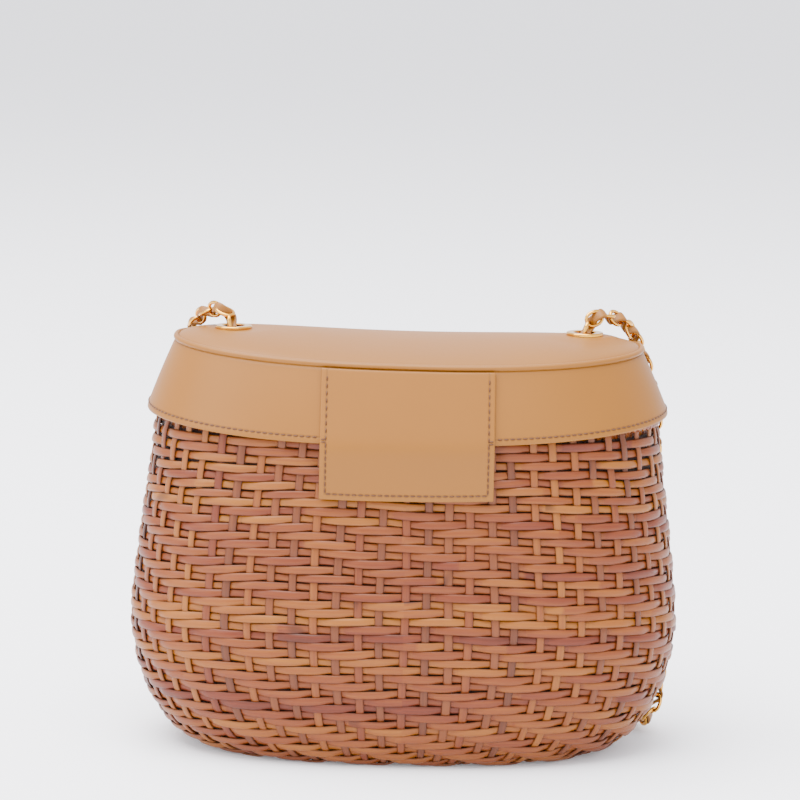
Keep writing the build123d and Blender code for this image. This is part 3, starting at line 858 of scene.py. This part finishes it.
class BAG_OT_stakes(bpy.types.Operator):
    """Stand the upright strips of cane between the rows"""

    bl_idname = "bag.stakes"
    bl_label = "Stakes"

    def execute(self, context):
        basket = sizes()[0]
        chance = np.random.default_rng(23)
        count, first, pitch = row_layout(basket)
        top = basket_side(basket)[0][-1]
        rings = count * 3
        up = np.linspace(0, top - 0.6 * MM, rings)[None]
        stake = np.arange(basket.stakes)[:, None]
        row = (up - first) / pitch
        from_top = count - 1 - row
        sway = chance.normal(0, 0.045, (basket.stakes, 1)) + 0.05 * np.sin(
            2 * pi * (up * 9 + chance.random((basket.stakes, 1)))
        )
        around = (stake + sway) / basket.stakes
        give = -twill(stake, from_top) * basket.stake_swing
        out = np.broadcast_to(-basket.weave_inset + give, around.shape)
        centre, normal = on_basket(basket, around, np.broadcast_to(up, around.shape), out)
        tone = np.clip(chance.normal(0.55, 0.16, (basket.stakes, 1)), 0.1, 0.9) * np.ones_like(around)
        hue = np.where(chance.random((basket.stakes, 1)) < 0.42, 0.85, 0.12) * np.ones_like(around)
        narrow = 1 - 0.22 * np.clip(1 - up / 0.03, 0, 1)
        width = basket.stake_width * (1 + chance.normal(0, 0.05, (basket.stakes, 1))) * narrow
        mesh = strips(
            "stakes", centre, normal, width, basket.cane * 0.9, False, chance.random(basket.stakes) * 3, tone, hue
        )
        settle(new_piece("stakes", mesh), "split_cane", "basket", "cane", "woven_basket")
        return {"FINISHED"}


class BAG_OT_base(bpy.types.Operator):
    """Weave the flat base"""

    bl_idname = "bag.base"
    bl_label = "Woven base"

    def execute(self, context):
        basket = sizes()[0]
        chance = np.random.default_rng(31)
        pitch, rings = 3.7 * MM, 90
        for name, along_x in (("base_long_strips", True), ("base_cross_strips", False)):
            reach, other = (basket.base_y, basket.base_x) if along_x else (basket.base_x, basket.base_y)
            many = int(reach / pitch)
            number = np.arange(-many, many + 1)[:, None]
            place = number * pitch
            far = other * (1 - np.abs(place / reach) ** OVAL_POWER) ** (1 / OVAL_POWER)
            run = np.linspace(-1, 1, rings)[None] * far
            wave = twill(number, run / pitch) if along_x else -twill(run / pitch, number)
            level = basket.weave_inset - wave * 0.45 * MM + np.zeros_like(run)
            rows = (run, place + 0 * run, level) if along_x else (place + 0 * run, run, level)
            centre = np.stack(rows, -1)
            down = np.broadcast_to(np.array((0.0, 0.0, -1.0)), centre.shape)
            tone = np.clip(chance.normal(0.5, 0.17, number.shape), 0.05, 0.95) * np.ones_like(run)
            mesh = strips(
                name, centre, down, pitch * 0.92, basket.cane * 0.8, False,
                chance.random(len(number)) * 3, tone, tone * 0,
            )
            settle(new_piece(name, mesh), "split_cane", "basket", "cane", "woven_basket")
        return {"FINISHED"}


class BAG_OT_border(bpy.types.Operator):
    """Wrap the basket's rim with cane"""

    bl_idname = "bag.border"
    bl_label = "Wrapped rim"

    def execute(self, context):
        basket = sizes()[0]
        chance = np.random.default_rng(43)
        wraps = 172
        out = np.array([-0.35, 0.0, 0.05, -0.3, -1.1, -2.2, -2.85, -3.0, -3.05]) * MM
        level = np.array([132.9, 133.3, 133.9, 134.5, 134.9, 134.9, 134.4, 132.6, 130.2]) * MM
        slant = np.linspace(0, 1.3, len(out))[None] / wraps
        around = np.arange(wraps)[:, None] / wraps + slant
        turn, _ = evenly_round(around, basket.rim_x, basket.rim_y)
        ux, uy = oval(turn)
        centre = np.stack([ux * (basket.rim_x + out), uy * (basket.rim_y + out), level + 0 * ux], -1)
        onward, _ = evenly_round(around + 1e-3, basket.rim_x, basket.rim_y)
        vx, vy = oval(onward)
        beside = np.stack([vx * (basket.rim_x + out), vy * (basket.rim_y + out), level + 0 * vx], -1)
        face = unit(np.cross(beside - centre, np.gradient(centre, axis=1)))
        tone = np.clip(chance.normal(0.5, 0.1, (wraps, 1)), 0, 1) * np.ones_like(around)
        mesh = strips(
            "wrapped_rim", centre, face, 2.9 * MM, 0.7 * MM, False, chance.random(wraps) * 3, tone, tone * 0
        )
        settle(new_piece("wrapped_rim", mesh), "split_cane", "basket", "cane", "rim_border")
        return {"FINISHED"}


def bowl(name, rows, count=192):
    """A closed bowl from profile rows that start and end at the middle or at the rim."""
    return welded(ring_mesh(name, rows, count))


class BAG_OT_inside(bpy.types.Operator):
    """Line the basket and stand the leather collar in its rim"""

    bl_idname = "bag.inside"
    bl_label = "Basket's inside"

    def execute(self, context):
        basket, lid, _, _ = sizes()
        low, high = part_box("basket_lining")
        rows = []
        for thickness, order in ((0.0, -1), (0.8 * MM, 1)):
            _, hx, hy, z = basket_side(basket, low.z + thickness, 3.6 * MM + thickness)
            keep = z <= high.z
            picked = np.stack([hx[keep], hy[keep], z[keep]], -1)[::9]
            shares = (0, 0.25, 0.5, 0.75, 0.93)
            middle = [(picked[0, 0] * share, picked[0, 1] * share, low.z + thickness) for share in shares]
            wall = np.concatenate([middle, picked])
            rows.append(wall[::order])
        mesh = bowl("lining_cloth", np.concatenate(rows))
        settle(new_piece("lining_cloth", mesh), "cloth", "basket", "lining", "basket_lining")

        low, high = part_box("rim_collar")
        _, hx, hy, z = basket_side(basket, 0, 3.6 * MM)
        foot, rim = (
            np.array((np.interp(level, z, hx), np.interp(level, z, hy), level)) for level in (low.z, basket.rim_z)
        )
        top = (
            lid_side(lid, high.z, 5.8 * MM)[0],
            lid_side(lid, high.z + 0.8 * lid.arch, 5.8 * MM)[1],
        )
        top = np.array((*top, high.z))
        thick, lip = 1.6 * MM, 0.8 * MM
        outer = [(top[0], top[1], high.z - lip)]
        outer += [rim + (top - rim) * share for share in (0.66, 0.33, 0)]
        outer += [foot + (rim - foot) * share for share in (0.75, 0.5, 0.25, 0)]
        inner = [(a - thick, b - thick, c) for a, b, c in outer[::-1]]
        round_top = [
            (top[0] - thick * share, top[1] - thick * share, high.z - lip * (1 - rise))
            for share, rise in ((0.85, 0.75), (0.5, 1), (0.15, 0.75))
        ]
        mesh = ring_mesh("collar_leather", outer + inner + round_top)
        collar = settle(new_piece("collar_leather", mesh), "smooth_calf", "basket", "tan_leather", "rim_collar")
        collar.data.materials.append(finish_named("cloth"))
        for face in collar.data.polygons:
            outward = face.center.x * face.normal.x + face.center.y * face.normal.y > 0
            if outward and face.center.z < basket.rim_z and abs(face.normal.z) < 0.7:
                face.material_index = 1
        return {"FINISHED"}


# ------------------------------------------------------------------ the lid


# The lid's slope along X at its lower edge, and how much of it is lost by the seam.
EDGE_LEAN = 0.0058
LEAN_LOSS = 0.0150


def lid_side(lid, level, inset):
    """Half length and half depth of the lid's flared side at a height."""
    share = (level - lid.edge_z) / (lid.seam_z - lid.edge_z)
    half_x = lid.edge_x + share * (lid.seam_x - lid.edge_x)
    half_y = lid.edge_y + share * (lid.seam_y - lid.edge_y)
    return half_x - inset, half_y - inset


def lean(lid, points):
    """The lid's arch from front to back, and its slight lean: the lower edge rises to +X and the seam falls.
    The lock side's lower edge stays level."""
    points = np.array(points, float)
    share = np.clip((points[..., 2] - lid.edge_z) / (lid.seam_z - lid.edge_z), 0, 1)
    bent = np.where(points[..., 1] > 0, share, 1.0)
    points[..., 2] -= lid.arch * (points[..., 1] / lid.edge_y) ** 2 * bent
    points[..., 2] += points[..., 0] * (EDGE_LEAN - LEAN_LOSS * share)
    return points


def lean_mesh(lid, mesh):
    flat = np.empty(len(mesh.vertices) * 3)
    mesh.vertices.foreach_get("co", flat)
    mesh.vertices.foreach_set("co", lean(lid, flat.reshape(-1, 3)).reshape(-1))
    mesh.update()
    return mesh


def top_level(lid, x, y):
    """Height of the lid's top: crowned, a little higher beside the eyelets than in the middle."""
    reach_x, reach_y = lid.seam_x - 0.9 * MM, lid.seam_y - 0.9 * MM
    out = np.clip((np.abs(x / reach_x) ** OVAL_POWER + np.abs(y / reach_y) ** OVAL_POWER) ** (1 / OVAL_POWER), 0, 1)
    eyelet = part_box("eyelet_right")
    at, flange = (eyelet[0].x + eyelet[1].x) / 2, eyelet[1].z - 1.2 * MM
    rise = (lid.crown_middle + lid.crown_gain * (x / at) ** 2) * (1 - out**2.6) ** 0.62
    level = lid.seam_z + 0.25 * MM + rise
    away = np.hypot(np.abs(x) - at, y)
    hold = 1 - np.clip((away - 7.8 * MM) / (10 * MM), 0, 1)
    hold = hold * hold * (3 - 2 * hold)
    return level * (1 - hold) + (flange - 0.02 * MM - x * (EDGE_LEAN - LEAN_LOSS)) * hold


def stitches(name, centre, tangent, out, lid, body, blend=None):
    """One row of stitches: short rounded threads that sink at both ends."""
    along = np.array([-0.95, -0.6, 0.0, 0.6, 0.95]) * lid.stitch_pitch * 0.42
    lift = np.array([-0.22, 0.04, 0.14, 0.04, -0.22]) * MM
    points = centre[:, None] + tangent[:, None] * along[None, :, None] + out[:, None] * lift[None, :, None]
    face = np.broadcast_to(out[:, None], points.shape)
    spin = np.linspace(0, 2 * pi, 6, endpoint=False)
    section = np.stack([-np.cos(spin), np.sin(spin) * 0.5], -1)
    width = np.array([0.3, 0.52, 0.56, 0.52, 0.3])[None] * MM * np.ones((len(centre), 1))
    mesh = strips(
        name, points, face, width, width, False, np.zeros(len(centre)), np.zeros(points.shape[:2]), section=section
    )
    piece = settle(new_piece(name, mesh), "thread", None if blend else body, "tan_leather")
    if blend:
        blend(piece)
    return piece


def ring_stitches(lid, level, inset, upward):
    """Middles, tangents and outward directions of the stitches right round the lid at one height."""
    half_x, half_y = lid_side(lid, level, inset)
    _, around = evenly_round(np.array([0.0]), half_x, half_y)
    count = int(around / lid.stitch_pitch)
    turn, _ = evenly_round((np.arange(count) + 0.5) / count, half_x, half_y)
    ux, uy = oval(turn)
    points = np.stack([ux * half_x, uy * half_y, level + 0 * ux], -1)
    normal_x = np.sign(ux) * np.abs(ux) ** (OVAL_POWER - 1) / half_x
    normal_y = np.sign(uy) * np.abs(uy) ** (OVAL_POWER - 1) / half_y
    normal = unit(np.stack([normal_x, normal_y, 0 * ux], -1))
    tangent = unit(np.roll(points, -1, 0) - np.roll(points, 1, 0))
    out = unit(normal + np.array((0.0, 0.0, 1.0)) * upward)
    return points, tangent, out


class BAG_OT_lid_side(bpy.types.Operator):
    """Cover the lid's side with leather"""

    bl_idname = "bag.lid_side"
    bl_label = "Lid's side"

    def execute(self, context):
        lid = sizes()[1]
        down = np.linspace(0.955, 0.14, 18)
        outer = [(0.965, 0.75), (0.962, 0.3), *[(s, -lid.bulge / MM * sin(pi * s)) for s in down]]
        outer += [(0.10, -0.12), (0.06, -0.1), (0.03, 0.02), (0.012, 0.2), (0.0, 0.5), (0.0, 0.85), (0.012, 1.1)]
        inner = [(0.05, 1.25), (0.3, 1.25), (0.6, 1.25), (0.95, 1.25)]
        rows, heights = [], []
        for share, inset in outer + inner:
            level = lid.edge_z + share * (lid.seam_z - lid.edge_z)
            rows.append((*lid_side(lid, level, inset * MM), level))
            heights.append(level - lid.edge_z if (share, inset) in outer else 0.01)
        mesh = lean_mesh(lid, ring_mesh("lid_side", rows, 420, heights))
        settle(new_piece("lid_side", mesh), "lid_side_leather", "lid", "tan_leather", "lid_band")
        level = lid.edge_z + lid.stitch_margin
        points, tangent, out = ring_stitches(lid, level, -0.12 * MM, 0.35)
        clear = np.abs(points[:, 0]) > lid.tab_width / 2 + 0.6 * MM
        stitches("side_stitches", lean(lid, points)[clear], tangent[clear], out[clear], lid, "lid")
        return {"FINISHED"}


class BAG_OT_piping(bpy.types.Operator):
    """Sew the piping into the seam round the lid's top"""

    bl_idname = "bag.piping"
    bl_label = "Piping"

    def execute(self, context):
        lid = sizes()[1]
        spin = np.linspace(pi / 2, pi / 2 - 2 * pi, 16, endpoint=False)
        reach = lid.piping / 2
        middle = lid.seam_z - 0.1 * MM
        out = reach * np.cos(spin) * 0.95
        rows = np.stack([lid.seam_x + out, lid.seam_y + out, middle + reach * np.sin(spin)], -1)
        mesh = lean_mesh(lid, ring_mesh("piping", rows, 420))
        settle(new_piece("piping", mesh), "smooth_calf", "lid", "tan_leather", "lid_piping")
        return {"FINISHED"}


def capped(lid, side_rows, inset, drop, rings, count):
    """Points of one face of a lid layer: up its side, then over its top to the middle."""
    rows = np.asarray(side_rows)
    turn, _ = evenly_round(np.arange(count) / count, lid.seam_x, lid.seam_y)
    ux, uy = oval(turn)
    side = round_rows(ux, uy, rows)
    share = np.sin(np.linspace(pi / 2, 0, rings))
    half_x, half_y = lid.seam_x - 0.9 * MM - inset, lid.seam_y - 0.9 * MM - inset
    x, y = ux[:, None] * half_x * share, uy[:, None] * half_y * share
    grow = (lid.seam_x - 0.9 * MM) / half_x
    top = np.stack([x, y, top_level(lid, x * grow, y * grow) - drop], -1)
    return np.concatenate([side, top], 1) if len(rows) else top


class BAG_OT_lid_top(bpy.types.Operator):
    """Stretch the leather over the lid's crown"""

    bl_idname = "bag.lid_top"
    bl_label = "Lid's top"

    def execute(self, context):
        lid = sizes()[1]
        outer = capped(lid, np.zeros((0, 3)), 0, 0, 56, 360)
        inner = capped(lid, np.zeros((0, 3)), 0, lid.leather, 56, 360)
        points = np.concatenate([outer[:, ::-1], inner], 1)
        mesh = welded(lean_mesh(lid, woven_mesh("lid_top", points[None])))
        piece = new_piece("lid_top", mesh)
        bore(piece, 5.0 * MM)
        settle(piece, "smooth_calf", "lid", "tan_leather", "lid_top_panel")
        return {"FINISHED"}


class BAG_OT_lid_inside(bpy.types.Operator):
    """Fit the lid's stiff board and its lining"""

    bl_idname = "bag.lid_inside"
    bl_label = "Lid's inside"

    def execute(self, context):
        lid = sizes()[1]
        for name, finish, slot, node, inset, thickness, drop in (
            ("lid_board", "pressed_board", "board", "lid_shell", 1.6, 2.0, 1.5),
            ("lid_cloth", "cloth", "lining", "lid_lining", 4.0, 0.7, 4.1),
        ):
            faces = []
            for extra in (0, thickness):
                levels = np.linspace(lid.edge_z + 0.4 * MM, lid.seam_z - (drop + extra + 0.6) * MM, 8)
                rows = [(*lid_side(lid, level, (inset + extra) * MM), level) for level in levels]
                faces.append(capped(lid, rows, (inset + extra) * MM, (drop + extra) * MM, 24, 192))
            points = np.concatenate([faces[0][:, ::-1], faces[1]], 1)
            mesh = welded(lean_mesh(lid, woven_mesh(name, points[None])))
            piece = new_piece(name, mesh)
            bore(piece, 5.0 * MM)
            settle(piece, finish, "lid", slot, node)
        return {"FINISHED"}


def tab_face(lid, side, across, level):
    """Points on a tab's outer face: it lies on the lid's side and hangs straight down below it."""
    soft = 1.2 * MM
    above = soft * np.log1p(np.exp(np.clip((level - lid.edge_z) / soft, -40, 40)))
    half_x, half_y = lid_side(lid, lid.edge_z + above, -(0.4 * MM + lid.tab_leather))
    y = side * half_y * (1 - np.abs(across / half_x) ** OVAL_POWER) ** (1 / OVAL_POWER)
    return np.stack([across + 0 * level, y, level + 0 * across], -1)


def tab(name, lid, side, bottom):
    """A leather tab with rounded edges and its own map of places from its middle and its lower edge."""
    top = lid.seam_z - 0.9 * MM
    columns, rows = 68, 50
    across = np.linspace(-lid.tab_width / 2, lid.tab_width / 2, columns)
    level = np.linspace(bottom, top, rows)
    points = lean(lid, tab_face(lid, side, across[:, None], level[None]))
    mesh = bpy.data.meshes.new(name)
    index = np.arange(columns * rows).reshape(columns, rows)
    quads = np.stack([index[:-1, :-1], index[1:, :-1], index[1:, 1:], index[:-1, 1:]], -1).reshape(-1, 4)
    if side > 0:
        quads = quads[:, ::-1]
    mesh.from_pydata(points.reshape(-1, 3).tolist(), [], quads.tolist())
    places = across[:, None], level[None] - bottom
    own = np.stack([np.broadcast_to(place, index.shape) for place in places], -1)
    corners = np.empty(len(mesh.loops), np.int32)
    mesh.loops.foreach_get("vertex_index", corners)
    uv = own.reshape(-1, 2)[corners]
    mesh.uv_layers.new(name="strip").data.foreach_set("uv", uv.astype(np.float32).reshape(-1))
    mesh.shade_smooth()
    piece = new_piece(name, mesh)
    thick = piece.modifiers.new("thickness", "SOLIDIFY")
    thick.thickness, thick.offset, thick.use_even_offset = lid.tab_leather - 0.1 * MM, -1, True
    edge = piece.modifiers.new("edge", "BEVEL")
    edge.width, edge.segments, edge.limit_method, edge.angle_limit = 0.4 * MM, 3, "ANGLE", radians(50)
    apply_modifiers(piece)
    bpy.ops.object.shade_smooth_by_angle(angle=radians(50))
    return piece


def tab_stitches(name, lid, side, bottom, stitched_bottom, blend=None):
    """Stitches inside a tab's sides and, where it is sewn down, its lower edge."""
    margin, pitch = lid.stitch_margin, lid.stitch_pitch
    half = lid.tab_width / 2 - margin
    top = lid.seam_z - 3.2 * MM
    low = bottom + margin
    up = np.linspace(low, top, int((top - low) / pitch) + 1)
    places = [(turn * half, level, 0, 1) for turn in (-1, 1) for level in (up[:-1] + up[1:]) / 2]
    if stitched_bottom:
        along = np.linspace(-half, half, int(2 * half / pitch) + 1)
        places += [(x, low, 1, 0) for x in (along[:-1] + along[1:]) / 2]
        tacks = [(turn, rise) for turn in (-1, 1) for rise in (1.4 * MM, 2.3 * MM)]
        places += [(turn * (half + 0.9 * MM), lid.edge_z + rise, 1, 0) for turn, rise in tacks]
    places = np.array(places)
    near = 0.2 * MM
    face = lambda x, z: lean(lid, tab_face(lid, side, x, z))
    centre = face(places[:, 0], places[:, 1])
    to_x = unit(face(places[:, 0] + near, places[:, 1]) - face(places[:, 0] - near, places[:, 1]))
    to_z = unit(face(places[:, 0], places[:, 1] + near) - face(places[:, 0], places[:, 1] - near))
    tangent = to_x * places[:, 2:3] + to_z * places[:, 3:4]
    out = unit(np.cross(to_x, to_z)) * (-side)
    out = np.where((out[:, 1:2] * side) < 0, -out, out)
    return stitches(name, centre, tangent, out, lid, "lid", blend)


class BAG_OT_tabs(bpy.types.Operator):
    """Sew the hinge tab and the closing tab to the lid"""

    bl_idname = "bag.tabs"
    bl_label = "Leather tabs"

    def execute(self, context):
        lid = sizes()[1]

        def bend(piece):
            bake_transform(piece)

        hinge = settle(tab("hinge_leather", lid, -1, lid.tab_bottom), "tab_leather", None, "tan_leather", "hinge_tab")
        bend(hinge)
        tab_stitches("hinge_stitches", lid, -1, lid.tab_bottom, True, bend)
        front = tab("closing_leather", lid, 1, lid.edge_z)
        settle(front, "tab_leather", "lid", "tan_leather", "front_tab")
        tab_stitches("closing_stitches", lid, 1, lid.edge_z, True)
        return {"FINISHED"}


class BAG_OT_metalwork(bpy.types.Operator):
    """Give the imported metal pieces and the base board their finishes"""

    bl_idname = "bag.metalwork"
    bl_label = "Metalwork"

    def execute(self, context):
        finishes = {
            "gold_metal": "gold", "spring_steel": "steel", "board": "pressed_board", "lining": "cloth",
            "tan_leather": "smooth_calf", "cane": "pressed_board",
        }
        for part in frame["record"]["subparts"]:
            node = frame["nodes"][part["node"]]
            material = finish_named(finishes[part["material_slot"]])
            if not node.material_slots:
                node.data.materials.append(material)
            for place in node.material_slots:
                place.material = material
        return {"FINISHED"}


# ------------------------------------------------------------------ the stage


class BAG_OT_stage(bpy.types.Operator):
    """Lay a pale floor and set soft studio lights"""

    bl_idname = "bag.stage"
    bl_label = "Stage"

    def execute(self, context):
        colours = sizes()[3]
        bpy.ops.object.select_all(action="DESELECT")
        bpy.ops.mesh.primitive_plane_add(size=120, location=(0, 0, 0))
        floor = context.active_object
        floor.name = "floor"
        paper = Finish("paper", Base_Color=tuple(colours.floor), Roughness=0.9, Specular_IOR_Level=0.2)
        paper.set(Emission_Color=tuple(colours.floor), Emission_Strength=0.2)
        floor.data.materials.append(paper.material)
        for name, place, aim, size, power in (
            ("overhead", (-0.5, -0.3, 2.4), (0, 0, 0.1), (2.6, 2.2), 250),
            ("left", (-2.4, -1.4, 1.3), (0, 0, 0.1), (1.6, 1.6), 44),
            ("front", (0.9, -2.8, 1.0), (0, 0, 0.08), (2.2, 1.6), 16),
        ):
            bpy.ops.object.light_add(type="AREA", location=place)
            light = context.active_object
            light.name = name
            light.data.shape = "RECTANGLE"
            light.data.size, light.data.size_y = size
            light.data.energy = power
            direction = Vector(aim) - Vector(place)
            light.rotation_euler = direction.to_track_quat("-Z", "Y").to_euler()
        world = bpy.data.worlds.new("studio")
        world.use_nodes = True
        backdrop = world.node_tree.nodes["Background"]
        backdrop.inputs["Color"].default_value = (*linear(240, 240, 244), 1)
        backdrop.inputs["Strength"].default_value = 2.6
        context.scene.world = world
        return {"FINISHED"}


# ------------------------------------------------------------------ the panel and the run


class BAG_PT_panel(bpy.types.Panel):
    """Steps that build the bag"""

    bl_idname = "BAG_PT_panel"
    bl_label = "Box bag"
    bl_space_type = "VIEW_3D"
    bl_region_type = "UI"
    bl_category = "Box bag"

    def draw(self, context):
        for step in STEPS:
            self.layout.operator(step.bl_idname)
        for label in ("bag_basket", "bag_lid", "bag_strap", "bag_colours"):
            group = getattr(context.scene, label)
            box = self.layout.box()
            for name in group.__annotations__:
                box.prop(group, name)


GROUPS = {"bag_basket": BasketSizes, "bag_lid": LidSizes, "bag_strap": StrapSizes, "bag_colours": BagColours}
STEPS = (
    BAG_OT_camera, BAG_OT_strap, BAG_OT_rows, BAG_OT_stakes, BAG_OT_base, BAG_OT_border, BAG_OT_inside,
    BAG_OT_lid_side, BAG_OT_piping, BAG_OT_lid_top, BAG_OT_lid_inside, BAG_OT_tabs, BAG_OT_metalwork, BAG_OT_stage,
)


def register():
    for group in GROUPS.values():
        bpy.utils.register_class(group)
    for label, group in GROUPS.items():
        setattr(bpy.types.Scene, label, bpy.props.PointerProperty(type=group))
    for step in (*STEPS, BAG_PT_panel):
        bpy.utils.register_class(step)


def unregister():
    for step in (BAG_PT_panel, *reversed(STEPS)):
        bpy.utils.unregister_class(step)
    for label, group in GROUPS.items():
        delattr(bpy.types.Scene, label)
        bpy.utils.unregister_class(group)


def main():
    register()
    for step in STEPS:
        family, name = step.bl_idname.split(".")
        getattr(getattr(bpy.ops, family), name)()


if __name__ == "__main__":
    main()
